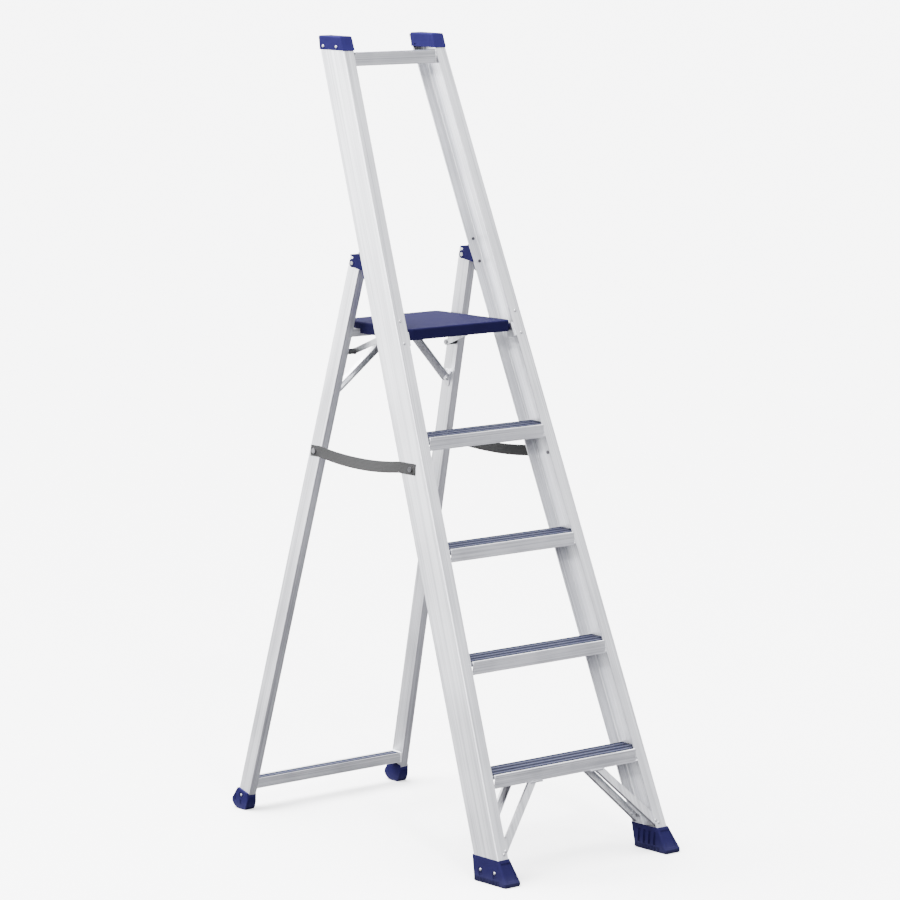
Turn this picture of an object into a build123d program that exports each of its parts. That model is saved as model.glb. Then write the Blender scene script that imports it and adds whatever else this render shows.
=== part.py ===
from build123d import *
import math
import os

os.makedirs("parts", exist_ok=True)

# Folding platform step ladder. X runs across it, +Y from the climber's side to the back, +Z up.
# The origin is on the floor, at the middle of its footprint.

# Driving dimensions, in millimetres and degrees
tread_rise = 240.0
first_tread = 230.0
tread_count = 4
overall_height = 1833.0
footprint_half = 499.0
lean_angle = 21.0
stile_taper_angle = 3.4
spread_angle = 14.0
leg_taper_angle = 3.1

stile_half_span = 261.0
stile_front = -484.0
stile_depth = 77.0
stile_flange = 31.0
stile_wall = 3.0
stile_top = overall_height - 4.0

leg_half_span = 248.0
leg_front = 448.0
leg_width = 21.0
leg_depth = 37.5
leg_wall = 1.8

pivot_y = 140.5
pivot_z = 1323.0
roof_z = pivot_z + 16.6
roof_wall = 3.0

tread_depth = 80.0
tread_nose = 6.4
tread_apron = 29.5
tread_wall = 2.0
rib_height = 1.2
rib_width = 2.4
rib_pitch = 5.6

platform_top = 1185.0
platform_front = -30.0
platform_length = 252.0
platform_front_half = 153.5
platform_rear_half = 146.0
platform_height = 26.0
platform_wall = 3.0
platform_hinge_y = -19.0
platform_hinge_z = 1169.0
hinge_pin_r = 4.0

head_bar_bottom = 1765.0
head_bar_height = 30.0
head_bar_depth = 26.0

upper_bar_bottom = 1149.5
upper_bar_height = 19.5
upper_bar_depth = 30.0
lower_bar_bottom = 51.0
lower_bar_height = 23.5
lower_bar_depth = 36.0

link_low_z = 1114.0
link_low_inset = 10.0
link_high_y = 66.0
link_high_z = 1160.0
link_x = 138.0
link_thick = 3.0
link_half_width = 6.5
link_bolt_r = 3.0

strap_z = 880.0
strap_width = 26.0
strap_thick = 2.0
strap_sag = 9.0
strap_stile_y = -104.5
strap_leg_y = 249.5

lip_gap = 2.4
rivet_r = 2.4
rivet_head_r = 3.6
rivet_head_height = 1.8
fit_gap = 0.05
body_gap = 0.3

lean = math.tan(math.radians(lean_angle))
taper = math.tan(math.radians(stile_taper_angle))
spread = math.tan(math.radians(spread_angle))
leg_taper = math.tan(math.radians(leg_taper_angle))
lean_cos = math.cos(math.radians(lean_angle))
spread_cos = math.cos(math.radians(spread_angle))


# Where the slanted members are at a height

def stile_point(z):
    """Outer front corner of the right stile."""
    return Vector(stile_half_span - taper * z, stile_front + lean * z, z)


def leg_point(z):
    """Outer front corner of the right rear leg."""
    return Vector(leg_half_span - leg_taper * z, leg_front - spread * z, z)


def stile_plane(z):
    """Local x points outwards, y backwards and z up along the right stile."""
    return Plane(origin=stile_point(z), x_dir=(1, 0, taper), z_dir=(-taper, lean, 1))


def leg_plane(z):
    """Local x points outwards, y backwards and z up along the right rear leg."""
    return Plane(origin=leg_point(z), x_dir=(1, 0, leg_taper), z_dir=(-leg_taper, -spread, 1))


# Shapes used in many places

def block(x, y, z):
    """A box between pairs of limits."""
    size = (x[1] - x[0], y[1] - y[0], z[1] - z[0])
    centre = (sum(x) / 2, sum(y) / 2, sum(z) / 2)
    return Pos(*centre) * Box(*size)


def area(x, y):
    """A rectangle between pairs of limits."""
    return Pos(sum(x) / 2, sum(y) / 2) * Rectangle(x[1] - x[0], y[1] - y[0])


def rod_x(y, z, radius, x):
    """A cylinder along X between two limits."""
    length = x[1] - x[0]
    return Pos(sum(x) / 2, y, z) * Rot(0, 90, 0) * Cylinder(radius, length)


def slab(low, high):
    """Everything between two heights."""
    return block((-600, 600), (-900, 900), (low, high))


def rivet(place, grip):
    """A domed rivet whose head stands on a plane, with its tail behind the gripped walls."""
    head = Pos(0, 0, rivet_head_height / 2) * Cylinder(rivet_head_r, rivet_head_height)
    rim = head.edges().filter_by(GeomType.CIRCLE).sort_by(Axis.Z)[-1]
    head = fillet(rim, rivet_head_height * 0.8)
    shank = Pos(0, 0, -grip / 2) * Cylinder(rivet_r, grip)
    tail = Pos(0, 0, -grip - 1) * Cylinder(rivet_r * 1.5, 2)
    return place * (head + shank + tail)


def rivet_hole(place, grip):
    """Removes what the shank passes through."""
    return place * Pos(0, 0, -grip / 2) * Cylinder(rivet_r + fit_gap, grip + 2)


def flip(part):
    """The same piece for the other side."""
    return mirror(part, about=Plane.YZ)


def save(name, part):
    export_step(part, f"parts/{name}.step")


def save_pair(name, part):
    save(name + "_right", part)
    save(name + "_left", flip(part))


def save_group(name, parts):
    """Identical fasteners of both sides share one node."""
    save(name, Compound(children=parts + [flip(part) for part in parts]))


# Rivet places on the right-hand side

def on_stile_web(z, behind):
    """A plane on the web's outer face, at a height and a level distance behind the front."""
    base = stile_plane(z)
    spot = stile_point(z) + Vector(0, behind, 0)
    return Plane(origin=spot, x_dir=base.y_dir, z_dir=base.x_dir)


def on_stile_front(z, inwards):
    """A plane on the front flange."""
    base = stile_plane(z)
    return Plane(origin=base.from_local_coords((-inwards, 0, 0)), x_dir=base.x_dir, z_dir=-base.y_dir)


def rear_plane(z):
    """As the stile's own plane, from the outer rear corner at that height."""
    base = stile_plane(z)
    level = base.from_local_coords((0, stile_depth, 0))
    spot = level + base.z_dir * ((z - level.Z) / base.z_dir.Z)
    return Plane(origin=spot, x_dir=base.x_dir, z_dir=base.z_dir)


def on_stile_rear(z, inwards, proud):
    """A plane parallel to the rear flange, that far off its outer face."""
    base = rear_plane(z)
    spot = base.from_local_coords((-inwards, proud, 0))
    return Plane(origin=spot, x_dir=base.x_dir, z_dir=base.y_dir)


def on_leg_side(z, behind, outwards):
    """A plane parallel to the leg's outer face, that far off it."""
    base = leg_plane(z)
    spot = leg_point(z) + Vector(0, behind, 0) + base.x_dir * outwards
    return Plane(origin=spot, x_dir=base.y_dir, z_dir=base.x_dir)


cap_skin = 1.6
cap_height = 32.0
cap_low = overall_height - cap_height
cap_outer_x = stile_point(cap_low).X + cap_skin
cap_grip = cap_skin + stile_wall + 1.0


def on_cap(behind):
    """A plane on the right cap's outer face, that far behind the stile's front in level depth."""
    height = cap_low + 8
    spot = (cap_outer_x, stile_point(height).Y + behind, height)
    return Plane(origin=spot, x_dir=(0, 1, 0), z_dir=(1, 0, 0))


cap_rivets = [on_cap(20.6), on_cap(67.0)]
foot_skin = 2.4
foot_boss = 4.6
foot_rivets = [on_stile_web(27, behind).offset(foot_boss) for behind in (15, 62)]
foot_grip = foot_boss + stile_wall
bracket_base = 4.0
bracket_inset = 15.5
bracket_rivets = [on_stile_rear(z, bracket_inset, bracket_base) for z in (1309, 1360)]
bracket_grip = bracket_base + stile_wall
carrier_plate = 3.0
carrier_rivets = [on_stile_front(z, 15.5) for z in (1156, 1205)]
carrier_grip = stile_wall + carrier_plate
strap_stile_x = stile_point(strap_z - strap_width / 2).X + 1.8
strap_leg_x = leg_point(strap_z - strap_width / 2).X + 0.6
link_low_y = leg_point(link_low_z).Y + link_low_inset
front_foot_top = 55.0
brace_low_z = 57.5
brace_wall = 2.0
brace_rivet_spots = [(66.7, 21.6), (73.2, 27.8)]
front_brace_rivets = [on_stile_front(z, inwards) for z, inwards in brace_rivet_spots]
rear_brace_rivets = [on_stile_rear(z, inwards, 0) for z, inwards in brace_rivet_spots]
brace_slack = 0.8  # the flange's lip lies this much deeper than its outer corner
brace_grip = stile_wall + brace_slack + brace_wall
tie_low_z = 1018.0
tie_tab = 2.5
upper_bar_front = leg_point(upper_bar_bottom).Y + 2
rear_foot_rivet = on_leg_side(34, 24, foot_skin)
rear_foot_grip = foot_skin + leg_wall


# Front frame

def make_stile():
    outline = area((-stile_flange, 0), (0, stile_depth))
    inside = area((-stile_flange - 1, -stile_wall), (stile_wall, stile_depth - stile_wall))
    channel = outline - inside
    outer = channel.vertices().filter_by(lambda v: v.X > -0.1)
    channel = fillet(outer, 2.5)
    inner = channel.vertices().filter_by(lambda v: abs(v.X + stile_wall) < 0.1)
    inner = inner.filter_by(lambda v: stile_wall - 0.1 < v.Y < stile_depth - stile_wall + 0.1)
    channel = fillet(inner, 2.5)
    bar = extrude(stile_plane(-40) * channel, overall_height * 1.15)
    bar = bar & slab(8, stile_top)
    for place in cap_rivets:
        bar -= rivet_hole(place, cap_grip)
    for place in foot_rivets:
        bar -= rivet_hole(place, foot_grip)
    for place in bracket_rivets:
        bar -= rivet_hole(place, bracket_grip)
    for place in carrier_rivets:
        bar -= rivet_hole(place, carrier_grip)
    for place in front_brace_rivets + rear_brace_rivets:
        bar -= rivet_hole(place, brace_grip)
    bar -= rod_x(strap_stile_y, strap_z, rivet_r + fit_gap, (190, 230))
    return bar


def stile_envelope(margin, low, high):
    """The closed rectangular outline of the right stile, grown by a margin."""
    shape = area((-stile_flange - margin, margin), (-margin, stile_depth + margin))
    return extrude(stile_plane(-60) * shape, overall_height * 1.2) & slab(low, high)


def make_cap():
    """A closed plastic cap that slips over the cut end of the stile."""
    low = cap_low
    front = stile_point(low).Y - 2.0
    rear_low = stile_point(low).Y + stile_depth / lean_cos + 2.0
    top_shift = lean * cap_height
    side = Polyline(
        (front, low),
        (rear_low, low),
        (rear_low + 4.0, overall_height),
        (front + top_shift, overall_height),
        close=True,
    )
    inner_x = stile_point(stile_top).X - stile_flange - cap_skin
    body = extrude(Plane.YZ * make_face(side), cap_outer_x - inner_x)
    body = Pos(inner_x, 0, 0) * body
    body = fillet(body.edges().filter_by(lambda e: e.center().Z > overall_height - 1), 3.5)
    body = fillet(body.edges().filter_by(lambda e: e.length > 20 and abs(e.tangent_at(0).Z) > 0.5), 2.5)
    body -= stile_envelope(fit_gap, low - 10, stile_top + fit_gap)
    for place in cap_rivets:
        body -= rivet_hole(place, cap_grip)
    hole_spot = (inner_x - 1, stile_point(low).Y + 70, low + 5)
    body -= Pos(*hole_spot) * Rot(0, 90, 0) * Cylinder(2.2, 6)
    return body


def tread_profile():
    """Section in Y and Z, with Y measured from the stile's front plane and Z from the tread's top."""
    front = -tread_nose
    rear = tread_depth - tread_nose
    top = -rib_height
    plate = area((front, rear), (top - tread_wall, top))
    nose = area((front, front + 6), (top - tread_wall, 0))
    front_apron = area((front, front + tread_wall), (-tread_apron, top))
    rear_apron = area((rear - tread_wall, rear), (-tread_apron, top))
    front_lip = area((front, front + 10), (-tread_apron, -tread_apron + tread_wall))
    rear_lip = area((rear - 10, rear), (-tread_apron, -tread_apron + tread_wall))
    section = plate + nose + front_apron + rear_apron + front_lip + rear_lip
    rib_y = front + 9
    while rib_y + rib_width < rear:
        section += area((rib_y, rib_y + rib_width), (top - 0.5, 0))
        rib_y += rib_pitch
    return section


def flange_space(low, high):
    """Room for both flanges of the right stile and what lies outside them."""
    front = area((-stile_flange - lip_gap, 20), (-30, stile_wall + body_gap))
    rear_y = stile_depth - stile_wall - body_gap
    rear = area((-stile_flange - lip_gap, 20), (rear_y, stile_depth + 30))
    web = area((-stile_wall - body_gap, 30), (-30, stile_depth + 30))
    return extrude(stile_plane(-60) * (front + rear + web), overall_height * 1.2) & slab(low, high)


def make_tread(top, stile):
    half = stile_point(top).X - stile_wall
    section = Plane(origin=(-half, stile_point(top).Y, top), x_dir=(0, 1, 0), z_dir=(1, 0, 0))
    body = extrude(section * tread_profile(), 2 * half)
    room = flange_space(top - 60, top + 30) + (stile & slab(top - 60, top + 30))
    return body - room - flip(room)


def make_head_bar(stile):
    """Rectangular tube between the stiles, under the caps."""
    low = head_bar_bottom
    high = low + head_bar_height
    front = stile_point(high).Y
    half = stile_point(high).X - stile_wall - 0.3
    tube = block((-half, half), (front, front + head_bar_depth), (low, high))
    wall = 2.0
    bore_y = (front + wall, front + head_bar_depth - wall)
    tube -= block((-half - 1, half + 1), bore_y, (low + wall, high - wall))
    room = flange_space(low - 20, high + 30) + (stile & slab(low - 20, high + 20))
    return tube - room - flip(room)


def make_front_foot():
    """Flared plastic shoe, open at the top for the stile, with panelled sides and a toothed sole."""
    top_z = front_foot_top
    sole_z = 9.0
    flare = 8.0
    edge = 2.5
    top_front = stile_point(top_z).Y - 3
    top_rear = top_front + stile_depth / lean_cos + 6
    top_x = (stile_point(top_z).X - stile_flange - 2, stile_point(top_z).X + foot_skin)
    sole_x = (top_x[0] - 4, top_x[1] + flare)
    sole_y = (-footprint_half, top_rear - 14)
    top_face = fillet(area(top_x, (top_front, top_rear)).vertices(), 4.0)
    sole_face = fillet(area(sole_x, sole_y).vertices(), 6.0)
    upper = loft([Pos(0, 0, sole_z) * sole_face, Pos(0, 0, top_z) * top_face])
    middle = extrude(Pos(0, 0, edge) * sole_face, sole_z - edge)
    lower = loft([offset(sole_face, -edge), Pos(0, 0, edge) * sole_face])
    body = upper + middle + lower
    body -= stile_envelope(fit_gap, 8, 80)

    # An arched pocket round each rivet, with its floor parallel to the stile
    for place in foot_rivets:
        pocket = Pos(0, 0, 15) * Cylinder(6.2, 30)
        pocket += Pos(0, -6, 15) * Box(12.4, 12, 30)
        body -= place * pocket
        body -= rivet_hole(place, foot_grip)

    # A sunken panel in the sloping front
    slope = (top_front - sole_y[0]) / (top_z - sole_z)
    panel_z = (14.0, 49.0)
    panel_y = [sole_y[0] + (z - sole_z) * slope + 1.8 for z in panel_z]
    panel = Polyline(
        (panel_y[0], panel_z[0]),
        (panel_y[1], panel_z[1]),
        (panel_y[1] - 12, panel_z[1]),
        (panel_y[0] - 12, panel_z[0]),
        close=True,
    )
    panel_x = (sole_x[0] + 8, top_x[1] - 3.5)
    body -= Pos(panel_x[0], 0, 0) * extrude(Plane.YZ * make_face(panel), panel_x[1] - panel_x[0])

    # Upright grooves in the inner side and teeth round the sole
    rear_y = sole_y[1]
    for index in range(4):
        slot_y = rear_y - 20 - index * 17
        body -= block((sole_x[0] - 2, sole_x[0] + 4.4), (slot_y, slot_y + 7), (14, 45))
    tooth_pitch = 5.0
    for index in range(16):
        tooth_y = rear_y - 10 - index * tooth_pitch
        for side_x in sole_x:
            body -= block((side_x - 2.0, side_x + 2.0), (tooth_y, tooth_y + 2.4), (1.5, 12))
    return body


def make_hinge_bracket():
    """Plastic clevis on the stile's rear flange; the leg's top turns between its cheeks."""
    base = rear_plane(1321)
    plate = base * block((-stile_flange + 1, -1.5), (0, bracket_base), (-32, 32))
    plate = fillet(plate.edges().filter_by(lambda e: 3 < e.length < 5), 1.5)
    middle = leg_point(pivot_z).X - leg_width / 2
    cheek_gap = leg_width / 2 + 2.0
    cheek = 3.0
    lobe = 9.8
    low_root = rear_plane(pivot_z - 15).origin
    high_root = rear_plane(pivot_z + 22).origin
    outline = Polyline(
        (low_root.Y, low_root.Z),
        (pivot_y - 3, pivot_z - 9.4),
        (pivot_y, pivot_z),
        (pivot_y - 4, roof_z - 2),
        (pivot_y + 6, roof_z),
        (pivot_y + 6, roof_z + roof_wall),
        (high_root.Y, high_root.Z),
        close=True,
    )
    side = make_face(outline) + Pos(pivot_y, pivot_z) * Circle(lobe)
    body = plate
    for start in (middle - cheek_gap - cheek, middle + cheek_gap):
        body += Pos(start, 0, 0) * extrude(Plane.YZ * side, cheek)
    roof_x = (middle - cheek_gap - 1, middle + cheek_gap + 1)
    body += block(roof_x, (high_root.Y, pivot_y + 6), (roof_z, roof_z + roof_wall))
    body -= stile_envelope(fit_gap, pivot_z - 80, pivot_z + 90)
    body -= rod_x(pivot_y, pivot_z, rivet_r + 1 + fit_gap, (middle - 30, middle + 30))
    for place in bracket_rivets:
        body -= rivet_hole(place, bracket_grip)
    return body


def make_pivot_rivet():
    """The shank stays still in the bracket's cheeks and the leg turns on it."""
    middle = leg_point(pivot_z).X - leg_width / 2
    reach = leg_width / 2 + 5.0
    shank = rod_x(pivot_y, pivot_z, rivet_r + 1, (middle - reach, middle + reach))
    head_r = 4.6
    outer_head = rod_x(pivot_y, pivot_z, head_r, (middle + reach, middle + reach + 1.8))
    inner_head = rod_x(pivot_y, pivot_z, head_r, (middle - reach - 1.8, middle - reach))
    return shank + outer_head + inner_head


def make_carrier():
    """Steel angle behind the front flange that carries the platform's hinge pin."""
    base = stile_plane(1180)
    plate_y = (stile_wall + 0.05, stile_wall + carrier_plate)
    ear_x = (-stile_flange - 5.6, -stile_flange - 2.6)
    plate = base * block((-stile_flange + 1, -stile_wall - 3), plate_y, (-36, 36))
    neck = base * block((ear_x[0], -stile_flange + 2), plate_y, (-30, 2))
    ear = base * block(ear_x, (plate_y[0], 26), (-30, 2))
    body = plate + neck + ear
    for place in carrier_rivets:
        body -= rivet_hole(place, carrier_grip)
    body -= rod_x(platform_hinge_y, platform_hinge_z, hinge_pin_r + fit_gap, (140, 170))
    return body


def make_hinge_pin():
    """Headed pin fixed in the carrier's ear; the platform's side wall turns on it."""
    shank = rod_x(platform_hinge_y, platform_hinge_z, hinge_pin_r, (149.0, 159.5))
    head = rod_x(platform_hinge_y, platform_hinge_z, hinge_pin_r + 2, (147.4, 149.0))
    return shank + head


def lean_board(offset):
    """A plane parallel to both front flanges, that far behind them, with z to the front."""
    spot = (0, stile_front + offset / lean_cos, 0)
    return Plane(origin=spot, x_dir=(1, 0, 0), z_dir=(0, -1, lean))


def strip(start, end, width, height):
    """A bar between two points of a plane, raised by a height."""
    run = (end[0] - start[0], end[1] - start[1])
    length = math.hypot(*run)
    angle = math.degrees(math.atan2(run[1], run[0]))
    middle = ((start[0] + end[0]) / 2, (start[1] + end[1]) / 2)
    return extrude(Pos(*middle) * Rot(0, 0, angle) * Rectangle(length, width), height)


def make_foot_brace(depth, low_x, high_x, places, behind_flange):
    """Channel strip from a flange of the stile, above the foot, to the lowest tread."""
    ceiling = first_tread - tread_apron - 0.1
    start = (low_x, brace_low_z / lean_cos)
    end = (high_x, (ceiling + 8) / lean_cos)
    width = 18.0
    height = 8.0
    solid = strip(start, end, width, height)
    shift = -brace_wall if behind_flange else brace_wall
    groove = Pos(0, 0, shift) * strip(start, end, width - 4, height)
    body = lean_board(depth + height) * (solid - groove)
    body = body & slab(front_foot_top + 1.5, ceiling)
    tab_y = stile_front + lean * ceiling + (depth + height / 2) / lean_cos
    body += block((high_x - 18, high_x + 18), (tab_y - 7, tab_y + 7), (ceiling - 2.5, ceiling))
    for place in places:
        body -= rivet_hole(place, brace_grip)
    return body


# Rear frame

def leg_envelope(margin, low, high):
    shape = area((-leg_width - margin, margin), (-margin, leg_depth + margin))
    return extrude(leg_plane(-60) * shape, 1600) & slab(low, high)


def make_leg():
    """Rectangular tube whose top front corner is rounded about its pivot."""
    top = roof_z - 1.0
    tube = leg_envelope(0, 9, top)
    bore = area((-leg_width + leg_wall, -leg_wall), (leg_wall, leg_depth - leg_wall))
    tube -= extrude(leg_plane(-60) * bore, 1600)
    corner = block((100, 240), (pivot_y - 60, pivot_y), (pivot_z, pivot_z + 60))
    corner -= rod_x(pivot_y, pivot_z, top - pivot_z, (90, 250))
    tube -= corner
    tube -= rod_x(pivot_y, pivot_z, rivet_r + 1 + 0.08, (130, 200))
    tube -= rivet_hole(rear_foot_rivet, rear_foot_grip)
    tube -= rod_x(link_low_y, link_low_z, link_bolt_r + fit_gap, (150, 172))
    tube -= rod_x(strap_leg_y, strap_z, rivet_r + fit_gap, (190, 215))
    tube -= rivet_hole(tie_rivet_place(), tie_tab + leg_wall)
    return tube


def tie_rivet_place():
    base = leg_plane(tie_low_z)
    spot = base.from_local_coords((-leg_width - tie_tab, leg_depth / 2, 0))
    return Plane(origin=spot, x_dir=base.y_dir, z_dir=-base.x_dir)


def make_tie():
    """Diagonal channel from the upper rear bar down to the leg's inner face."""
    middle_y = leg_front + leg_depth / 2 / spread_cos
    board = Plane(origin=(0, middle_y, 0), x_dir=(1, 0, 0), z_dir=(0, -1, -spread))
    ceiling = upper_bar_bottom - 0.1
    start = (20, (ceiling + 8) / spread_cos)
    end = (leg_point(tie_low_z).X - leg_width - 8, (tie_low_z + 8) / spread_cos)
    width = 18.0
    solid = Pos(0, 0, -5) * strip(start, end, width, 10)
    groove = Pos(0, 0, -3) * strip(start, end, width - 4, 10)
    body = board * (solid - groove)
    body = body & slab(tie_low_z - 20, ceiling)
    tab_x = (-leg_width - tie_tab, -leg_width - 0.05)
    tab = leg_plane(tie_low_z) * block(tab_x, (leg_depth / 2 - 9, leg_depth / 2 + 9), (-16, 22))
    tab &= leg_plane(tie_low_z) * Pos(-leg_width, leg_depth / 2, 6) * Rot(45, 0, 0) * Box(60, 40, 40)
    body += tab
    body -= leg_envelope(0.05, tie_low_z - 60, tie_low_z + 100)
    body -= rivet_hole(tie_rivet_place(), tie_tab + leg_wall)
    return body


def make_upper_bar():
    half = leg_point(upper_bar_bottom + upper_bar_height).X - leg_width - 0.1
    front = upper_bar_front
    low = upper_bar_bottom
    high = low + upper_bar_height
    bar = block((-half, half), (front, front + upper_bar_depth), (low, high))
    wall = 2.0
    bore_y = (front + wall, front + upper_bar_depth - wall)
    return bar - block((-half - 1, half + 1), bore_y, (low + wall, high - wall))


def make_lower_bar():
    """Tube with a grooved top, between the feet of the legs."""
    low = lower_bar_bottom
    high = low + lower_bar_height
    half = leg_point(high).X - leg_width - 0.1
    front = leg_point(low).Y + 1
    rear = front + lower_bar_depth
    bar = block((-half, half), (front, rear), (low, high))
    wall = 2.0
    bar -= block((-half - 1, half + 1), (front + wall, rear - wall), (low + wall, high - 5))
    for index in range(4):
        groove = front + 4.5 + index * 6
        bar -= block((-half - 1, half + 1), (groove, groove + 3.5), (high - 2, high + 1))
    return bar


def make_rear_foot():
    """Plastic shoe with a rounded heel, open at the top for the leg."""
    skin = foot_skin
    front_top = leg_point(40).Y - skin - 0.6
    rear_top = leg_point(50).Y + leg_depth / spread_cos + skin
    heel = footprint_half
    front_low = leg_point(0).Y - 1.5
    outline = Polyline(
        (front_top, 40),
        (front_low - 2, 7),
        (front_low + 3, 0),
        (front_low + 26, 0),
    )
    sole = ThreePointArc((front_low + 26, 0), (heel - 9, 7.5), (heel, 20))
    back = Line((heel, 20), (rear_top, 51))
    lid = Line((rear_top, 51), (front_top, 40))
    side = make_face(outline.edges() + sole.edges() + back.edges() + lid.edges())
    inner_x = leg_point(45).X - leg_width - skin
    outer_x = leg_point(0).X + skin
    body = Pos(inner_x - 1, 0, 0) * extrude(Plane.YZ * side, outer_x - inner_x + 2)
    plan = area((inner_x, outer_x), (front_low - 8, heel))
    body &= extrude(fillet(plan.vertices(), 3.5), 60)
    body -= leg_envelope(fit_gap, 9, 90)
    body -= rear_foot_rivet * Pos(0, 0, 10) * Cylinder(6.2, 20)
    body -= rivet_hole(rear_foot_rivet, rear_foot_grip)

    # Sunken slots in the outer side and a sunken panel in the front
    slot_x = (outer_x - 1.6, outer_x + 5)
    body -= block(slot_x, (heel - 16.5, heel - 12), (19, 34))
    body -= block(slot_x, (front_low + 15, front_low + 21), (10, 22))
    panel = Polyline(
        (front_low - 1, 6),
        (front_top + 2.2, 36),
        (front_top - 12, 36),
        (front_low - 14, 6),
        close=True,
    )
    panel_x = (inner_x + 4, outer_x - 5)
    body -= Pos(panel_x[0], 0, 0) * extrude(Plane.YZ * make_face(panel), panel_x[1] - panel_x[0])
    return body


def make_link_bolt():
    """Bolt and spacer on the leg's inner face; the link turns on its shank."""
    leg_x = leg_point(link_low_z).X - leg_width
    shank_x = (link_x - body_gap, leg_x + leg_wall + 2)
    head_x = (shank_x[0] - 2.2, shank_x[0])
    shank = rod_x(link_low_y, link_low_z, link_bolt_r, shank_x)
    head = rod_x(link_low_y, link_low_z, 5.0, head_x)
    return shank + head


def make_link_spacer():
    """Plastic sleeve that holds the link clear of the leg."""
    leg_x = leg_point(link_low_z).X - leg_width
    sleeve_x = (link_x + link_thick + body_gap, leg_x - 0.6)
    sleeve = rod_x(link_low_y, link_low_z, 6.5, sleeve_x)
    return sleeve - rod_x(link_low_y, link_low_z, link_bolt_r + fit_gap, sleeve_x)


def make_link():
    """Flat bar from the leg's bolt up to the lug under the platform."""
    start = (link_low_y, link_low_z)
    end = (link_high_y, link_high_z)
    board = Plane(origin=(link_x, 0, 0), x_dir=(0, 1, 0), z_dir=(1, 0, 0))
    bar = strip(start, end, 2 * link_half_width, link_thick)
    for spot in (start, end):
        bar += extrude(Pos(*spot) * Circle(link_half_width + 1), link_thick)
    bar -= Pos(start[0], start[1], link_thick / 2) * Cylinder(link_bolt_r + 0.08, link_thick + 2)
    stud = Pos(end[0], end[1], link_thick + 0.8) * Cylinder(4.0, 1.6)
    return board * (bar + stud)


# Platform

def make_platform():
    """Plastic tray with a skirt, notched at the back to sit over the upper rear bar."""
    rear = platform_front + platform_length
    low = platform_top - platform_height
    plan = Polyline(
        (-platform_front_half, platform_front),
        (platform_front_half, platform_front),
        (platform_rear_half, rear),
        (-platform_rear_half, rear),
        close=True,
    )
    plan = make_face(plan)
    front_corners = plan.vertices().filter_by(lambda v: v.Y < 0)
    plan = fillet(front_corners, 12)
    rear_corners = plan.vertices().filter_by(lambda v: v.Y > rear - 1)
    plan = fillet(rear_corners, 16)
    body = extrude(Pos(0, 0, low) * plan, platform_height)
    rim = body.edges().filter_by(lambda e: e.center().Z > platform_top - 0.1)
    body = fillet(rim, 3.5)
    inside = offset(plan, -platform_wall)
    ceiling = platform_top - platform_wall - 1
    body -= extrude(Pos(0, 0, low - 1) * inside, ceiling - low + 1)
    for x in (-98, -49, 0, 49, 98):
        body += block((x - 1.2, x + 1.2), (platform_front + 1, rear - 1), (low + 10.6, ceiling + 1))
    for y in (20, 80, 140):
        half = platform_rear_half - 1
        body += block((-half, half), (y - 1.2, y + 1.2), (low + 10.6, ceiling + 1))
    lug_x = (link_x - 0.6 - platform_wall, link_x - 0.6)
    lug = block(lug_x, (link_high_y - 9, link_high_y + 9), (link_high_z, ceiling + 1))
    lug += rod_x(link_high_y, link_high_z, 9, lug_x)
    body += lug + flip(lug)
    boss = rod_x(platform_hinge_y, platform_hinge_z, 9, (149.6, 152.8))
    boss &= block((100, 152.6), (-60, 60), (low, platform_top - 1))
    body += boss + flip(boss)
    seat = upper_bar_bottom + upper_bar_height + body_gap
    notch_y = (upper_bar_front - 13, upper_bar_front + upper_bar_depth + 6)
    body -= block((-200, 200), notch_y, (low - 5, seat))
    pin = rod_x(platform_hinge_y, platform_hinge_z, hinge_pin_r + 0.08, (140, 160))
    head = rod_x(platform_hinge_y, platform_hinge_z, hinge_pin_r + 3, (140, 149.3))
    return body - pin - flip(pin) - head - flip(head)


# Straps

def make_strap():
    """Flat webbing band from the stile's web to the leg's outer face, with a little sag."""
    end = 14.0
    run = strap_leg_y - strap_stile_y
    angle = math.atan2(strap_leg_x - strap_stile_x, run)
    start = Vector(strap_stile_x, strap_stile_y, strap_z)
    chord = run / math.cos(angle)
    board = Plane(origin=start, x_dir=(math.sin(angle), math.cos(angle), 0), z_dir=(math.cos(angle), -math.sin(angle), 0))
    half = strap_width / 2
    lower = ThreePointArc((-end, -half), (chord / 2, -half - strap_sag), (chord + end, -half))
    upper = ThreePointArc((-end, half), (chord / 2, half - strap_sag), (chord + end, half))
    sides = [Line((-end, -half), (-end, half)), Line((chord + end, -half), (chord + end, half))]
    band = make_face(lower.edges() + upper.edges() + sides[0].edges() + sides[1].edges())
    body = board * extrude(band, strap_thick)
    hole = rivet_r + fit_gap
    body -= rod_x(strap_stile_y, strap_z, hole, (190, 230))
    body -= rod_x(strap_leg_y, strap_z, hole, (190, 230))
    return body


def make_strap_rivet(y, strap_x, inner_x):
    """Its head stands on the strap and its tail behind the wall."""
    skin_x = strap_x + strap_thick + body_gap
    head = rod_x(y, strap_z, 6.0, (skin_x, skin_x + 2.0))
    shank = rod_x(y, strap_z, rivet_r, (inner_x, skin_x))
    tail = rod_x(y, strap_z, 4.2, (inner_x - 2.0, inner_x))
    return head + shank + tail


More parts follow.
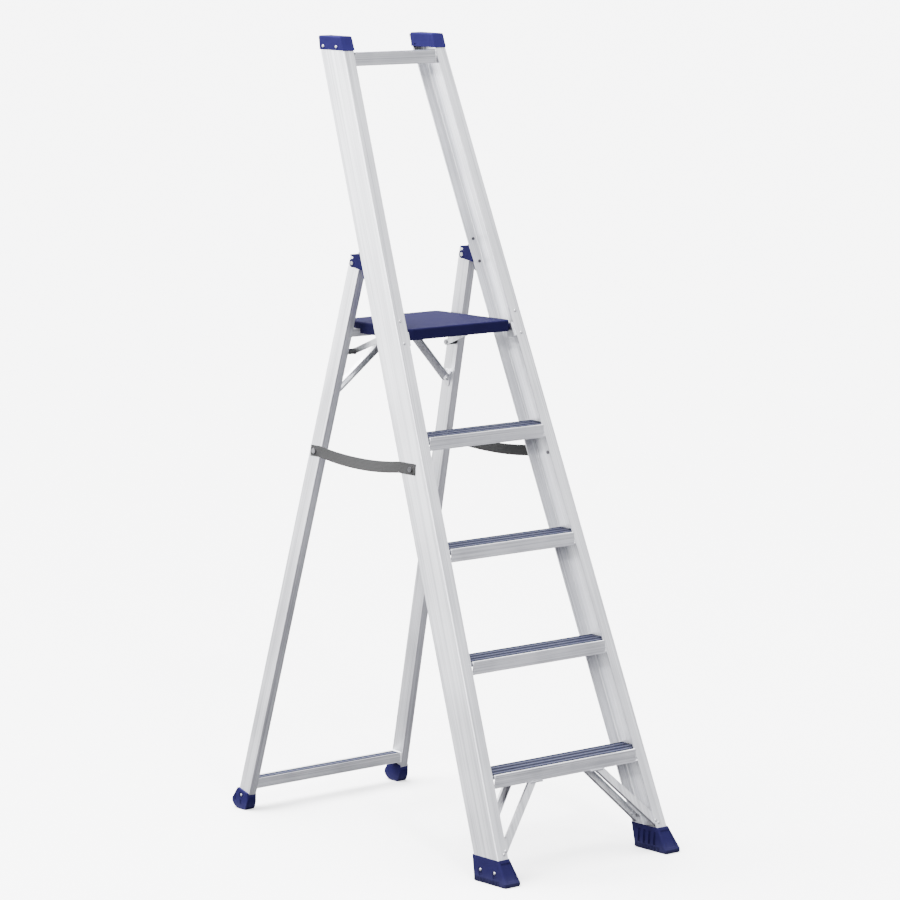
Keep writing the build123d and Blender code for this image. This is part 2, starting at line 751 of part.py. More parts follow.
right_stile = make_stile()
save_pair("stile", right_stile)
save_pair("top_cap", make_cap())
for index in range(tread_count):
    save(f"tread_{index + 1}", make_tread(first_tread + index * tread_rise, right_stile))
save("head_bar", make_head_bar(right_stile))
save_pair("front_foot", make_front_foot())
save_pair("hinge_bracket", make_hinge_bracket())
save_pair("platform_carrier", make_carrier())
front_depth = stile_wall + brace_slack
rear_depth = stile_depth - stile_wall - 8.05
save_pair("front_foot_brace", make_foot_brace(front_depth, 241, 92, front_brace_rivets, True))
save_pair("rear_foot_brace", make_foot_brace(rear_depth, 240, 98, rear_brace_rivets, False))
save_pair("rear_leg", make_leg())
save_pair("rear_foot", make_rear_foot())
save("upper_rear_bar", make_upper_bar())
save("lower_rear_bar", make_lower_bar())
save_pair("diagonal_tie", make_tie())
save("platform", make_platform())
save_pair("platform_link", make_link())
save_pair("strap", make_strap())
save_group("platform_hinge_pins", [make_hinge_pin()])
save_group("leg_pivot_rivets", [make_pivot_rivet()])
save_group("link_bolts", [make_link_bolt()])
save_group("link_spacers", [make_link_spacer()])
save_group("cap_rivets", [rivet(place, cap_grip) for place in cap_rivets])
save_group("front_foot_rivets", [rivet(place, foot_grip) for place in foot_rivets])
brace_rivets = [rivet(place, brace_grip) for place in front_brace_rivets + rear_brace_rivets]
save_group("foot_brace_rivets", brace_rivets)
save_group("bracket_rivets", [rivet(place, bracket_grip) for place in bracket_rivets])
save_group("carrier_rivets", [rivet(place, carrier_grip) for place in carrier_rivets])
save_group("rear_foot_rivets", [rivet(rear_foot_rivet, rear_foot_grip)])
save_group("tie_rivets", [rivet(tie_rivet_place(), tie_tab + leg_wall)])
stile_inner_x = stile_point(strap_z).X - stile_wall - 0.4
leg_inner_x = leg_point(strap_z).X - leg_wall - 0.4
save_group("strap_stile_rivets", [make_strap_rivet(strap_stile_y, strap_stile_x, stile_inner_x)])
save_group("strap_leg_rivets", [make_strap_rivet(strap_leg_y, strap_leg_x, leg_inner_x)])
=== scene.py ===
import bpy
import bmesh
import math
from mathutils import Matrix, Vector


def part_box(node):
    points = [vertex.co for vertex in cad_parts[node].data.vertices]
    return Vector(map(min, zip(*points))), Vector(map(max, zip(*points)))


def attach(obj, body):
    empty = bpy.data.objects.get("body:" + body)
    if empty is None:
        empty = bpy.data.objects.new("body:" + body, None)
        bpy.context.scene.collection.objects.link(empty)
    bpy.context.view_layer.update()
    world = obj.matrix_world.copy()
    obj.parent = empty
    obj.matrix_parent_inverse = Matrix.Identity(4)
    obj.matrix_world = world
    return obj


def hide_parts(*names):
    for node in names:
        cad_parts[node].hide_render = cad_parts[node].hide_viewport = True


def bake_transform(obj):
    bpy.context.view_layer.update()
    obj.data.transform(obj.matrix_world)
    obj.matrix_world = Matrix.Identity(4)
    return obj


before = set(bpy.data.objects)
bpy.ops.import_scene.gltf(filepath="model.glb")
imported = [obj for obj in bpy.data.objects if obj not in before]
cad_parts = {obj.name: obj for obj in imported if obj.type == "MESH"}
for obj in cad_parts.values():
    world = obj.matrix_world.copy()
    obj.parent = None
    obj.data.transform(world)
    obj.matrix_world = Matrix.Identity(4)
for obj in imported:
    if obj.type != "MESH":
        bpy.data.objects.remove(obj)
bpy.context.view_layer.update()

sides = (("right", 1), ("left", -1))
ladder = {
    "stileHalf": 0.261,  # outer half width on the floor
    "stileFront": -0.484,  # front face on the floor
    "lean": math.tan(math.radians(21.0)),
    "taper": math.tan(math.radians(3.4)),
    "legHalf": 0.248,
    "legFront": 0.448,
    "spread": math.tan(math.radians(14.0)),
    "legTaper": math.tan(math.radians(3.1)),
}


# Shader arithmetic

def plug(tree, value, socket):
    if isinstance(value, Wire):
        tree.links.new(value.socket, socket)
    else:
        socket.default_value = value


class Wire:  # a socket that works in plain sums
    def __init__(self, tree, socket):
        self.tree = tree
        self.socket = socket

    def math(self, operation, other=None, swapped=False):
        node = self.tree.nodes.new("ShaderNodeMath")
        node.operation = operation
        if other is None:
            plug(self.tree, self, node.inputs[0])
        else:
            first, second = (other, self) if swapped else (self, other)
            plug(self.tree, first, node.inputs[0])
            plug(self.tree, second, node.inputs[1])
        return Wire(self.tree, node.outputs[0])

    def __add__(self, other):
        return self.math("ADD", other)

    def __mul__(self, other):
        return self.math("MULTIPLY", other)

    def __sub__(self, other):
        return self.math("SUBTRACT", other)

    def __rsub__(self, other):
        return self.math("SUBTRACT", other, swapped=True)

    def __truediv__(self, other):
        return self.math("DIVIDE", other)

    __radd__ = __add__
    __rmul__ = __mul__


class Finish:  # one material with its node tree
    def __init__(self, name, metallic=0.0, **constants):
        self.material = bpy.data.materials.new(name)
        self.material.use_nodes = True
        self.tree = self.material.node_tree
        self.tree.nodes.clear()
        self.shader = self.tree.nodes.new("ShaderNodeBsdfPrincipled")
        self.shader.inputs["Metallic"].default_value = metallic
        for socket, value in constants.items():
            self.shader.inputs[socket.replace("_", " ")].default_value = value
        end = self.tree.nodes.new("ShaderNodeOutputMaterial")
        self.tree.links.new(self.shader.outputs[0], end.inputs[0])

    def node(self, kind, settings=None, sockets=None, out=0):
        made = self.tree.nodes.new("ShaderNode" + kind)
        for name, value in (settings or {}).items():
            setattr(made, name, value)
        for name, value in (sockets or {}).items():
            plug(self.tree, value, made.inputs[name])
        return Wire(self.tree, made.outputs[out])

    def place(self):  # object coordinates, whole and apart
        spot = self.node("TexCoord", out=3)
        parts = self.tree.nodes.new("ShaderNodeSeparateXYZ")
        self.tree.links.new(spot.socket, parts.inputs[0])
        return spot, [Wire(self.tree, output) for output in parts.outputs]

    def vector(self, x, y, z):
        return self.node("CombineXYZ", None, {"X": x, "Y": y, "Z": z})

    def noise(self, vector, scale, detail=3.0, roughness=0.5):
        sockets = {"Vector": vector, "Scale": scale, "Detail": detail, "Roughness": roughness}
        return self.node("TexNoise", None, sockets)

    def mix(self, factor, a, b):
        a = (*a, 1.0) if isinstance(a, tuple) else a
        b = (*b, 1.0) if isinstance(b, tuple) else b
        return self.node("Mix", {"data_type": "RGBA"}, {0: factor, 6: a, 7: b}, out=2)

    def step(self, value, low, high):
        sockets = {"Value": value, "From Min": low, "From Max": high, "To Min": 0.0, "To Max": 1.0}
        return self.node("MapRange", {"interpolation_type": "SMOOTHSTEP"}, sockets)

    def bump(self, height, strength, distance):
        sockets = {"Strength": strength, "Distance": distance, "Height": height}
        return self.node("Bump", None, sockets)

    def wear(self, **links):
        for socket, value in links.items():
            plug(self.tree, value, self.shader.inputs[socket.replace("_", " ")])
        return self.material


# Coordinates that follow each member, with the length of the member last

def alongStile(finish):
    spot, (x, y, z) = finish.place()
    across = x.math("ABSOLUTE") + z * ladder["taper"]
    return spot, (across, y - z * ladder["lean"], z)


def alongLeg(finish):
    spot, (x, y, z) = finish.place()
    across = x.math("ABSOLUTE") + z * ladder["legTaper"]
    return spot, (across, y + z * ladder["spread"], z)


def alongTread(finish):
    spot, (x, y, z) = finish.place()
    return spot, (y, z, x)


# Materials

extruded = {
    "dark": (0.50, 0.505, 0.53),
    "light": (0.80, 0.805, 0.83),
    "scuffed": (0.55, 0.55, 0.57),
    "roughness": 0.34,
    "lineScale": 420.0,  # drawn lines per metre, across the member
    "lineStretch": 0.006,
    "lineDepth": 0.00006,
    "bandScale": 70.0,
    "bandStretch": 0.02,
    "cloudScale": 7.0,
    "scuffScale": 24.0,
    "scuffAcross": 3.0,
    "scuffAlong": 14.0,
}


def makeExtruded(name, follow, lightAndShadeScale=1.0):
    finish = Finish(name, metallic=1.0)
    spot, (u, v, length) = follow(finish)
    lineSpot = finish.vector(u, v, length * extruded["lineStretch"])
    lines = finish.noise(lineSpot, extruded["lineScale"], 4.0, 0.6)
    bandSpot = finish.vector(u, v, length * extruded["bandStretch"])
    bands = finish.noise(bandSpot, extruded["bandScale"], 2.0)
    cloud = finish.noise(spot, extruded["cloudScale"], 3.0)
    across, along = extruded["scuffAcross"], extruded["scuffAlong"]
    scuffSpot = finish.vector(u * across, v * across, length * along)
    scuffs = finish.noise(scuffSpot, extruded["scuffScale"], 6.0, 0.7)
    scuffed = finish.step(scuffs, 0.62, 0.78)
    # brightness scaled per part: lit and shaded copies of one aluminium, painted light and shade
    dark = tuple(lightAndShadeScale * c for c in extruded["dark"])
    light = tuple(lightAndShadeScale * c for c in extruded["light"])
    shade = finish.step(lines * 0.5 + bands * 0.35 + cloud * 0.15, 0.34, 0.6)
    colour = finish.mix(shade, dark, light)
    colour = finish.mix(scuffed * 0.35, colour, extruded["scuffed"])
    rough = extruded["roughness"] + lines * 0.1 + cloud * 0.12 + scuffed * 0.12
    normal = finish.bump(lines * 0.7 + bands * 0.3, 0.35, extruded["lineDepth"])
    return finish.wear(Base_Color=colour, Roughness=rough, Normal=normal)


tread = {
    "blue": (0.020, 0.022, 0.052),
    # lighter blue: painted highlight on the rib ridges, and also the colour of worn coating
    "blueRidgeHighlightAndWear": (0.11, 0.12, 0.17),
    # painted shade for the grooves between the ribs
    "dark": (0.004, 0.004, 0.011),
    "silver": (0.80, 0.805, 0.83),
    "silverDark": (0.52, 0.525, 0.55),
    # pitch of the painted shade and highlight bands that stand for the ribs
    "bandPitch": 0.0215,
    "edge": 0.001,  # over which the colour ends at the front and the back
    "skin": 0.0022,  # the ribs and the face between them
    "skinEdge": (0.0006, 0.001),  # below the skin, where the colour ends
    "roughness": 0.34,
    "lineScale": 420.0,
    "lineStretch": 0.006,
    "lineDepth": 0.00006,
    "cloudScale": 9.0,
}
onlyOne = 10.0  # a rise taller than the ladder
cover = {  # first and last depth behind the member's front, and the height of the lowest face
    "treads": {"first": 0.0, "last": 0.0722, "top": 0.230, "rise": 0.240, "lightAndShadeScale": 1.17},
    "rail": {"first": 0.003, "last": 0.0255, "top": 1.795, "rise": onlyOne},
    "lowerBar": {"first": 0.009, "last": 0.036, "top": 0.0745, "rise": onlyOne},
}


def behindStiles(x, y, z):
    return y - z * ladder["lean"] - ladder["stileFront"]


def behindLegs(x, y, z):
    return y + z * ladder["spread"] - ladder["legFront"]


def makeTreadFinish(name, depthOf, first, last, top, rise, lightAndShadeScale=1.0):
    # blue between two depths on the upper skin, whose heights repeat by the rise, and bare elsewhere
    finish = Finish(name, Specular_IOR_Level=0.1)
    spot, (x, y, z) = finish.place()
    lineSpot = finish.vector(x * tread["lineStretch"], y, z)
    lines = finish.noise(lineSpot, tread["lineScale"], 4.0, 0.6)
    cloud = finish.noise(spot, tread["cloudScale"], 3.0)
    behind = depthOf(x, y, z)
    up = finish.tree.nodes.new("ShaderNodeSeparateXYZ")
    plug(finish.tree, finish.node("NewGeometry", out=1), up.inputs[0])
    level = Wire(finish.tree, up.outputs[2])
    edge = tread["edge"]
    inside = finish.step(behind, first - edge, first) * finish.step(behind, last, last - edge)
    skin = tread["skin"]
    below = ((z - (top - skin)) / rise).math("FRACT") * rise
    nearer, farther = tread["skinEdge"]
    onTop = 1.0 - finish.step(below, skin + nearer, skin + farther)
    covered = finish.step(level, -0.4, -0.2) * inside * onTop
    # bands across the top: painted shade in the grooves and painted highlight on the ridges of the
    # ribs
    band = ((behind - first) / tread["bandPitch"]).math("FRACT")
    paintedGrooveShade = finish.step(band, 0.02, 0.1) * (1.0 - finish.step(band, 0.28, 0.36))
    paintedRidgeHighlight = finish.step(band, 0.45, 0.55) * (1.0 - finish.step(band, 0.72, 0.8))
    streaks = finish.noise(finish.vector(x * 4.0, y * 60.0, z), 2.0, 5.0, 0.6)
    worn = finish.step(streaks, 0.6, 0.8)
    blue = finish.mix(paintedRidgeHighlight * 0.75, tread["blue"], tread["blueRidgeHighlightAndWear"])
    blue = finish.mix(paintedGrooveShade, blue, tread["dark"])
    blue = finish.mix(worn * 0.3, blue, tread["blueRidgeHighlightAndWear"])
    shade = finish.step(lines * 0.7 + cloud * 0.3, 0.35, 0.62)
    # brightness scaled per part: lit and shaded copies of one aluminium, painted light and shade
    silverDark = tuple(lightAndShadeScale * c for c in tread["silverDark"])
    silver = finish.mix(shade, silverDark, tuple(lightAndShadeScale * c for c in tread["silver"]))
    colour = finish.mix(covered, silver, blue)
    rough = tread["roughness"] + lines * 0.1 + cloud * 0.1 + covered * (worn * 0.1 + 0.18)
    metal = 1.0 - covered
    normal = finish.bump(lines, 0.3, tread["lineDepth"])
    return finish.wear(Base_Color=colour, Roughness=rough, Metallic=metal, Normal=normal)


bluePlastic = {
    "deep": (0.0052, 0.0042, 0.030),
    "light": (0.0095, 0.0078, 0.047),
    "dust": (0.05, 0.05, 0.09),
    "roughness": 0.72,
    "grain": 1400.0,
    "grainDepth": 0.00008,
    "mottleScale": 30.0,
    "rubScale": 60.0,
    "lowest": 0.03,  # the height that floor dust reaches
}


def makeBluePlastic(name, dustHeight=0.0, lightAndShadeScale=1.0):
    finish = Finish(name, Specular_IOR_Level=0.05)
    spot, (x, y, z) = finish.place()
    grain = finish.noise(spot, bluePlastic["grain"], 2.0)
    mottle = finish.noise(spot, bluePlastic["mottleScale"], 4.0, 0.6)
    rubSpot = finish.vector(x * 2.0, y, z * 5.0)
    rubs = finish.noise(rubSpot, bluePlastic["rubScale"], 6.0, 0.7)
    rubbed = finish.step(rubs, 0.6, 0.76)
    # brightness scaled per part: lit and shaded copies of one blue plastic, painted light and shade
    deep = tuple(lightAndShadeScale * c for c in bluePlastic["deep"])
    light = tuple(lightAndShadeScale * c for c in bluePlastic["light"])
    colour = finish.mix(mottle, deep, light)
    colour = finish.mix(rubbed * 0.14, colour, bluePlastic["dust"])
    rough = bluePlastic["roughness"] + mottle * 0.1 + rubbed * 0.14
    if dustHeight:
        low = 1.0 - finish.step(z, 0.0, dustHeight)
        colour = finish.mix(low * mottle * 0.35, colour, bluePlastic["dust"])
        rough = rough + low * 0.15
    normal = finish.bump(grain, 0.25, bluePlastic["grainDepth"])
    return finish.wear(Base_Color=colour, Roughness=rough, Normal=normal)


blackPlastic = {
    "deep": (0.012, 0.012, 0.014),
    "light": (0.03, 0.03, 0.034),
    "roughness": 0.4,
    "mottleScale": 60.0,
    "grain": 1500.0,
    "grainDepth": 0.00006,
}


def makeBlackPlastic(name):
    finish = Finish(name)
    spot, _ = finish.place()
    mottle = finish.noise(spot, blackPlastic["mottleScale"], 4.0)
    grain = finish.noise(spot, blackPlastic["grain"], 2.0)
    colour = finish.mix(mottle, blackPlastic["deep"], blackPlastic["light"])
    rough = blackPlastic["roughness"] + mottle * 0.2
    normal = finish.bump(grain, 0.25, blackPlastic["grainDepth"])
    return finish.wear(Base_Color=colour, Roughness=rough, Normal=normal)


steel = {
    "bright": (0.80, 0.81, 0.83),
    "grey": (0.16, 0.16, 0.17),
    # near black: darker steel of the rivet mandrels, with painted shade of their holes and shadows
    "black": (0.09, 0.09, 0.10),
    "shadow": 0.82,  # of the tint, in its darker grains
    "roughness": 0.24,
    "rolledScale": 900.0,
    "rolledStretch": 0.05,
    "rolledDepth": 0.00003,
    "spangleScale": 220.0,
}


def makeSteel(name, tint):
    finish = Finish(name, metallic=1.0)
    spot, (x, y, z) = finish.place()
    stretch = steel["rolledStretch"]
    rolledSpot = finish.vector(x, y * stretch, z * stretch)
    rolled = finish.noise(rolledSpot, steel["rolledScale"], 3.0)
    spangle = finish.noise(spot, steel["spangleScale"], 2.0)
    shade = finish.step(rolled * 0.4 + spangle * 0.6, 0.35, 0.65)
    dark = tuple(steel["shadow"] * c for c in tint)
    colour = finish.mix(shade, dark, tint)
    rough = steel["roughness"] + rolled * 0.1 + spangle * 0.1
    normal = finish.bump(rolled, 0.2, steel["rolledDepth"])
    return finish.wear(Base_Color=colour, Roughness=rough, Normal=normal)


weld = {
    "pitch": 0.0021,
    "bead": 0.0020,
    "jitter": 0.35,
    "seed": 7,
    "dark": (0.52, 0.52, 0.54),
    "light": (0.90, 0.90, 0.92),
    "roughness": 0.28,
    "rippleScale": 500.0,
    "rippleDepth": 0.0002,
    "flange": 0.031,  # width of the stile's flange
    "clear": 0.0012,  # from the flange's edge to the beads
    "endGap": 0.002,  # left at the ends of a front seam
    "forward": 0.002,
    "proud": 0.0005,
    "treadBack": 0.0795,  # behind the stile's front, where the top seam ends
    "topRun": 0.022,
    "legWidth": 0.021,
    "legProud": 0.0002,
    "legEndGap": 0.001,
    "barEndGap": 0.003,
}


rivet = {
    "dark": (0.38, 0.38, 0.40),
    "light": (0.58, 0.58, 0.60),
    "roughness": 0.22,
    "pitScale": 700.0,
    "pitDepth": 0.00005,
}


def makeRivetFinish(name):
    finish = Finish(name, metallic=1.0)
    spot, _ = finish.place()
    pits = finish.noise(spot, rivet["pitScale"], 3.0)
    colour = finish.mix(pits, rivet["dark"], rivet["light"])
    rough = rivet["roughness"] + pits * 0.16
    normal = finish.bump(pits, 0.3, rivet["pitDepth"])
    return finish.wear(Base_Color=colour, Roughness=rough, Normal=normal)


def makeWeldFinish(name):
    finish = Finish(name, metallic=1.0)
    spot, _ = finish.place()
    ripple = finish.noise(spot, weld["rippleScale"], 4.0, 0.6)
    colour = finish.mix(ripple, weld["dark"], weld["light"])
    rough = weld["roughness"] + ripple * 0.25
    normal = finish.bump(ripple, 0.5, weld["rippleDepth"])
    return finish.wear(Base_Color=colour, Roughness=rough, Normal=normal)


webbing = {
    # lit and shaded threads of one black yarn: painted light and shade
    "light": (0.026, 0.026, 0.027),
    "dark": (0.011, 0.011, 0.0115),
    "soiled": (0.012, 0.0115, 0.011),
    "ribs": 9.0,  # ribs over the width
    "picks": 560.0,  # weft threads per metre
    "roughness": 0.72,
    "threadDepth": 0.0004,
}


def makeWebbing(name):
    finish = Finish(name, Sheen_Weight=0.1, Sheen_Roughness=0.5, Specular_IOR_Level=0.2)
    weave = finish.node("UVMap", {"uv_map": "weave"})
    parts = finish.tree.nodes.new("ShaderNodeSeparateXYZ")
    finish.tree.links.new(weave.socket, parts.inputs[0])
    along = Wire(finish.tree, parts.outputs[0])
    across = Wire(finish.tree, parts.outputs[1])
    rib = (across * (webbing["ribs"] * math.tau)).math("SINE") * 0.5 + 0.5
    shift = (across * webbing["ribs"]).math("FLOOR") * 0.5
    pick = ((along * webbing["picks"] + shift) * math.tau).math("SINE") * 0.5 + 0.5
    fuzz = finish.noise(finish.vector(along * 900.0, across * 26.0, 0.0), 1.0, 4.0, 0.6)
    soil = finish.noise(finish.vector(along * 18.0, across * 1.2, 0.0), 1.0, 4.0)
    height = rib * 0.6 + pick * 0.4
    # raised threads painted lighter and the hollows between them darker: painted shade over the
    # weave, with random fuzz
    colour = finish.mix(height * 0.8 + fuzz * 0.2, webbing["dark"], webbing["light"])
    colour = finish.mix(finish.step(soil, 0.55, 0.75) * 0.25, colour, webbing["soiled"])
    rough = webbing["roughness"] + fuzz * 0.15
    normal = finish.bump(height + fuzz * 0.3, 0.7, webbing["threadDepth"])
    return finish.wear(Base_Color=colour, Roughness=rough, Normal=normal)


print("finishes")
# the scales below brighten or darken copies of one aluminium and one blue plastic part by part:
# painted light and shade
stileMetal = makeExtruded("stileMetal", alongStile)
legMetal = makeExtruded("legMetal", alongLeg)
barMetal = makeExtruded("barMetal", alongTread, lightAndShadeScale=0.97)
braceMetal = makeExtruded("braceMetal", alongStile, lightAndShadeScale=0.94)
treadMetal = makeTreadFinish("treadMetal", behindStiles, **cover["treads"])
railMetal = makeTreadFinish("railMetal", behindStiles, **cover["rail"])
lowerBarMetal = makeTreadFinish("lowerBarMetal", behindLegs, **cover["lowerBar"])
cornerBlue = makeBluePlastic("cornerBlue")
capBlue = makeBluePlastic("capBlue", lightAndShadeScale=1.7)
# rear feet painted lighter and front feet painted darker: painted light and shade on the same
# plastic
rearFootBlue = makeBluePlastic("rearFootBlue", bluePlastic["lowest"], lightAndShadeScale=1.15)
footBlue = makeBluePlastic("footBlue", bluePlastic["lowest"], lightAndShadeScale=0.72)
platformBlue = makeBluePlastic("platformBlue", lightAndShadeScale=0.68)
sleeveBlack = makeBlackPlastic("sleeveBlack")
linkSteel = makeSteel("linkSteel", steel["bright"])
# rivet tails painted near black: darker steel, and painted shade of the holes and the shadow around
# them
shadedRivetSteel = makeSteel("shadedRivetSteel", steel["black"])
strapSteel = makeSteel("strapSteel", steel["grey"])
rivetMetal = makeRivetFinish("rivetMetal")
weldMetal = makeWeldFinish("weldMetal")
strapWeave = makeWebbing("strapWeave")

wearing = {
    "stile_": stileMetal,
    "rear_leg_": legMetal,
    "head_bar": railMetal,
    "upper_rear_bar": barMetal,
    "lower_rear_bar": lowerBarMetal,
    "tread_": treadMetal,
    "front_foot_brace": braceMetal,
    "rear_foot_brace": braceMetal,
    "bracket_rivets": shadedRivetSteel,
    "strap_stile_rivets": strapSteel,
    "diagonal_tie": braceMetal,
    "top_cap": capBlue,
    "hinge_bracket": cornerBlue,
    "front_foot_left": footBlue,
    "front_foot_right": footBlue,
    "rear_foot_left": rearFootBlue,
    "rear_foot_right": rearFootBlue,
    "platform_carrier": linkSteel,
    "platform_link": linkSteel,
    "link_spacers": sleeveBlack,
}
for name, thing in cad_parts.items():
    chosen = rivetMetal
    for start, material in wearing.items():
        if name.startswith(start):
            chosen = material
    if name == "platform":
        chosen = platformBlue
    thing.data.materials.clear()
    thing.data.materials.append(chosen)


# Points on the slanted members

def stileSpot(z, inwards=0.0, behind=0.0):  # level distances from the outer front corner
    x = ladder["stileHalf"] - ladder["taper"] * z - inwards
    return Vector((x, ladder["stileFront"] + ladder["lean"] * z + behind, z))


def legSpot(z, inwards=0.0, behind=0.0):
    x = ladder["legHalf"] - ladder["legTaper"] * z - inwards
    return Vector((x, ladder["legFront"] - ladder["spread"] * z + behind, z))


def addPiece(name, mesh, material):
    piece = bpy.data.objects.new(name, mesh)
    bpy.context.scene.collection.objects.link(piece)
    mesh.materials.append(material)
    return piece


def applied(piece):  # the evaluated mesh takes the place of the live modifiers
    graph = bpy.context.evaluated_depsgraph_get()
    mesh = bpy.data.meshes.new_from_object(piece.evaluated_get(graph))
    piece.modifiers.clear()
    piece.data = mesh
    return piece


# Straps

strap = {
    "width": 0.026,
    "thick": 0.0014,
    "gap": 0.0009,  # from the metal to the middle of the webbing
    "sag": 0.010,
    "tab": 0.014,  # past each rivet
    "stileEdge": 0.084,  # where it leaves the stile, behind its front
    "rows": 96,
    "columns": 14,
    "ripple": 0.0006,
    "waves": 9.0,
    "belly": 0.004,
    "edge": 0.0004,
}


def strapPath(stileRivet, legRivet, share):  # depth, share of the free run, and drop
    y = stileRivet.y - strap["tab"] + share * (legRivet.y - stileRivet.y + 2 * strap["tab"])
    edge = stileSpot(stileRivet.z).y + strap["stileEdge"]
    lap = legSpot(legRivet.z).y
    free = min(max((y - edge) / (lap - edge), 0.0), 1.0)
    droop = 4 * strap["sag"] * free * (1 - free)
    return y, free, droop


def makeStrap(label, side):
    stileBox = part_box("strap_stile_rivets")
    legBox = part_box("strap_leg_rivets")
    stileRivet = (stileBox[0] + stileBox[1]) / 2
    legRivet = (legBox[0] + legBox[1]) / 2
    mesh = bpy.data.meshes.new("webbing")
    grid = bmesh.new()
    layer = grid.loops.layers.uv.new("weave")
    rows = []
    length = 0.0
    last = None
    ripple = strap["ripple"]
    for row in range(strap["rows"] + 1):
        share = row / strap["rows"]
        y, free, droop = strapPath(stileRivet, legRivet, share)
        middle = Vector((0, y, stileRivet.z - droop))
        if last is not None:
            length += (middle - last).length
        last = middle
        line = []
        for column in range(strap["columns"] + 1):
            across = column / strap["columns"]
            z = middle.z + (across - 0.5) * strap["width"]
            ease = free * free * (3 - 2 * free)
            onStile = stileSpot(z).x
            onLeg = legSpot(z).x
            x = onStile + (onLeg - onStile) * free + strap["gap"]
            belly = math.sin(math.pi * free) * (0.5 - across) * strap["belly"]
            wave = ripple * math.sin(strap["waves"] * share + side) * math.sin(math.pi * free)
            x += belly + wave * (1 - ease * 0.5)
            line.append((grid.verts.new((side * x, y, z)), length, across))
        rows.append(line)
    for lower, upper in zip(rows, rows[1:]):
        for a, b, c, d in zip(lower, lower[1:], upper[1:], upper):
            corners = (a, b, c, d) if side < 0 else (d, c, b, a)
            face = grid.faces.new([corner[0] for corner in corners])
            face.smooth = True
            for loop, corner in zip(face.loops, corners):
                loop[layer].uv = (corner[1], corner[2])
    grid.to_mesh(mesh)
    grid.free()
    piece = addPiece("webbing_" + label, mesh, strapWeave)
    thicken = piece.modifiers.new("thickness", "SOLIDIFY")
    thicken.thickness = strap["thick"]
    thicken.offset = 0.0
    rounded = piece.modifiers.new("edges", "BEVEL")
    rounded.width = strap["edge"]
    rounded.segments = 2
    applied(piece)
    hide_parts("strap_" + label)
    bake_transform(piece)
    print("strap", label, "length", round(length, 4))
    return piece


for label, side in sides:
    makeStrap(label, side)


# Weld beads, laid along seams

beadSizes = {"Pitch": weld["pitch"], "Bead radius": weld["bead"], "Jitter": weld["jitter"]}


def weldTree():
    tree = bpy.data.node_groups.new("weldBeads", "GeometryNodeTree")
    face = tree.interface
    face.new_socket("Seams", in_out="INPUT", socket_type="NodeSocketGeometry")
    for name, value in beadSizes.items():
        socket = face.new_socket(name, in_out="INPUT", socket_type="NodeSocketFloat")
        socket.default_value = value
    seed = face.new_socket("Seed", in_out="INPUT", socket_type="NodeSocketInt")
    seed.default_value = weld["seed"]
    finish = face.new_socket("Finish", in_out="INPUT", socket_type="NodeSocketMaterial")
    finish.default_value = weldMetal
    face.new_socket("Beads", in_out="OUTPUT", socket_type="NodeSocketGeometry")
    into = tree.nodes.new("NodeGroupInput")
    out = tree.nodes.new("NodeGroupOutput")

    def add(kind, **settings):
        node = tree.nodes.new(kind)
        for name, value in settings.items():
            setattr(node, name, value)
        return node

    curve = add("GeometryNodeMeshToCurve")
    spaced = add("GeometryNodeResampleCurve", mode="LENGTH")
    spread = add("GeometryNodeInstanceOnPoints")
    ball = add("GeometryNodeMeshIcoSphere")
    ball.inputs["Subdivisions"].default_value = 2
    size = add("FunctionNodeRandomValue", data_type="FLOAT")
    low = add("ShaderNodeMath", operation="SUBTRACT")
    high = add("ShaderNodeMath", operation="ADD")
    low.inputs[0].default_value = 1.0
    high.inputs[0].default_value = 1.0
    whole = add("GeometryNodeRealizeInstances")
    soft = add("GeometryNodeSetShadeSmooth")
    painted = add("GeometryNodeSetMaterial")
    join = tree.links.new
    join(into.outputs["Seams"], curve.inputs["Mesh"])
    join(curve.outputs[0], spaced.inputs["Curve"])
    join(into.outputs["Pitch"], spaced.inputs["Length"])
    join(spaced.outputs[0], spread.inputs["Points"])
    join(into.outputs["Bead radius"], ball.inputs["Radius"])
    join(ball.outputs[0], spread.inputs["Instance"])
    join(into.outputs["Jitter"], low.inputs[1])
    join(into.outputs["Jitter"], high.inputs[1])
    join(low.outputs[0], size.inputs[2])
    join(high.outputs[0], size.inputs[3])
    join(into.outputs["Seed"], size.inputs["Seed"])
    join(size.outputs[1], spread.inputs["Scale"])
    join(spread.outputs[0], whole.inputs[0])
    join(whole.outputs[0], soft.inputs[0])
    join(soft.outputs[0], painted.inputs["Geometry"])
    join(into.outputs["Finish"], painted.inputs["Material"])
    join(painted.outputs[0], out.inputs[0])
    return tree


beadTree = weldTree()


def layBeads(name, seams, body):
    mesh = bpy.data.meshes.new(name)
    points = []
    edges = []
    for start, end in seams:
        edges.append((len(points), len(points) + 1))
        points += [start, end]
    mesh.from_pydata(points, edges, [])
    piece = addPiece(name, mesh, weldMetal)
    layer = piece.modifiers.new("beads", "NODES")
    layer.node_group = beadTree
    for item in beadTree.interface.items_tree:
        if item.in_out == "INPUT" and item.name in beadSizes:
            layer[item.identifier] = beadSizes[item.name]
    applied(piece)
    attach(piece, body)
    return piece


